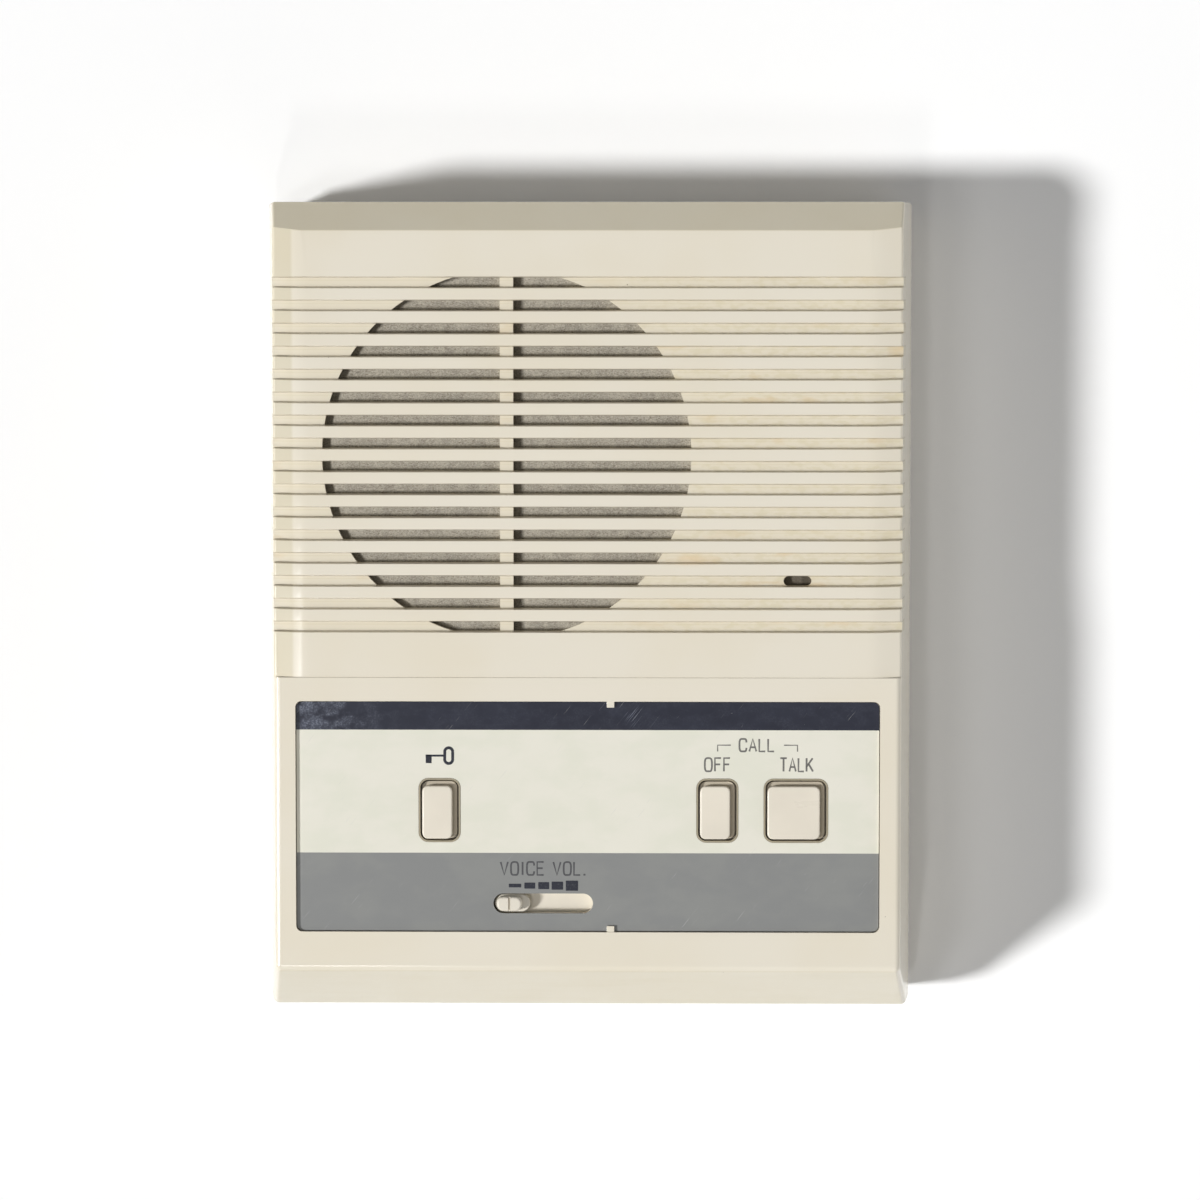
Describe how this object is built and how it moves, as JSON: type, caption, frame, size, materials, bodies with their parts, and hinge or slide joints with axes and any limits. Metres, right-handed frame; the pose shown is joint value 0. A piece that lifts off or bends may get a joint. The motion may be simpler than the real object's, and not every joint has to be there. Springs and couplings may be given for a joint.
{
  "type": "desk intercom master station",
  "caption": "Flat desk intercom master station with a ribbed speaker grille, push buttons that spring back and a sliding volume control on a recessed label plate.",
  "frame": {"origin": "under the middle of the case, on the surface that the rubber feet stand on", "axes": "+X to the right of the face, +Y towards the grille's top edge, +Z out of the face; the station lies on its back"},
  "size_m": [0.16, 0.2, 0.0467],
  "materials": {
    "case_plastic": "fine matt grain, cream, slightly yellowed",
    "rear_plastic": "fine matt grain, cream",
    "rubber_feet": "soft black rubber",
    "zinc_screw": "zinc plated",
    "printed_label": "glossy sheet printed in dark blue, off-white and grey",
    "speaker_cloth": "grey-brown woven cloth",
    "gasket_card": "grey card",
    "basket_steel": "zinc plated pressed steel",
    "cone_paper": "black felted paper",
    "dust_cap_paper": "black pressed paper",
    "plate_steel": "zinc plated steel",
    "ferrite": "dark grey ferrite",
    "terminal_board": "brown laminated board",
    "clamp_steel": "zinc plated sheet",
    "wire_insulation": "red insulation",
    "boot_rubber": "soft black rubber",
    "capsule_metal": "pressed aluminium can",
    "board_laminate": "brown phenolic board, varnished",
    "core_iron": "varnished iron sheets",
    "winding": "yellow tape over the winding",
    "chip_plastic": "black moulding",
    "capacitor_sleeve": "blue shrunk sleeve",
    "ceramic_disc": "tan ceramic disc",
    "resistor_body": "beige lacquer",
    "transistor_plastic": "black moulding",
    "diode_glass": "reddish glass",
    "terminal_plastic": "black phenolic moulding",
    "terminal_brass": "nickel-free brass",
    "switch_plastic": "black moulding",
    "plunger_plastic": "natural nylon",
    "spring_steel": "bright spring wire",
    "button_plastic": "smooth cream moulding",
    "knob_plastic": "smooth cream moulding",
    "lever_plastic": "black moulding",
    "track_metal": "zinc plated frame"
  },
  "bodies": {
    "case": {"front_case": "case_plastic", "rear_case": "rear_plastic", "rubber_feet": "rubber_feet", "case_screws": "zinc_screw", "label_plate": "printed_label", "speaker_cloth": "speaker_cloth", "speaker_gasket": "gasket_card", "speaker_basket": "basket_steel", "speaker_cone": "cone_paper", "speaker_dust_cap": "dust_cap_paper", "speaker_front_plate": "plate_steel", "speaker_magnet": "ferrite", "speaker_yoke": "plate_steel", "speaker_terminals": "terminal_board", "speaker_clamps": "clamp_steel", "speaker_clamp_screws": "zinc_screw", "speaker_wires": "wire_insulation", "microphone_cloth": "speaker_cloth", "microphone_boot": "boot_rubber", "microphone_capsule": "capsule_metal", "main_board": "board_laminate", "board_screws": "zinc_screw", "transformer_core": "core_iron", "transformer_coil": "winding", "amplifier_chip": "chip_plastic", "filter_capacitors": "capacitor_sleeve", "ceramic_capacitors": "ceramic_disc", "resistors": "resistor_body", "transistors": "transistor_plastic", "diodes": "diode_glass", "terminal_block": "terminal_plastic", "terminal_screws": "terminal_brass", "volume_track": "track_metal", "door_spring": "spring_steel", "door_switch": "switch_plastic", "off_spring": "spring_steel", "off_switch": "switch_plastic", "talk_spring": "spring_steel", "talk_switch": "switch_plastic"},
    "volume_slider": {"volume_knob": "knob_plastic", "volume_lever": "lever_plastic"},
    "door_key": {"door_button": "button_plastic", "door_plunger": "plunger_plastic"},
    "off_key": {"off_button": "button_plastic", "off_plunger": "plunger_plastic"},
    "talk_key": {"talk_button": "button_plastic", "talk_plunger": "plunger_plastic"}
  },
  "joints": [
    {"name": "door_press", "type": "slide", "parent": "case", "child": "door_key", "axis": [0, 0, -1], "range_m": [0, 0.002], "stiffness_N_per_m": 300, "springref_m": -0.003, "deforming": ["door_spring"]},
    {"name": "off_press", "type": "slide", "parent": "case", "child": "off_key", "axis": [0, 0, -1], "range_m": [0, 0.002], "stiffness_N_per_m": 300, "springref_m": -0.003, "deforming": ["off_spring"]},
    {"name": "talk_press", "type": "slide", "parent": "case", "child": "talk_key", "axis": [0, 0, -1], "range_m": [0, 0.002], "stiffness_N_per_m": 300, "springref_m": -0.003, "deforming": ["talk_spring"]},
    {"name": "volume_slide", "type": "slide", "parent": "case", "child": "volume_slider", "axis": [1, 0, 0], "range_m": [0, 0.015]}
  ]
}
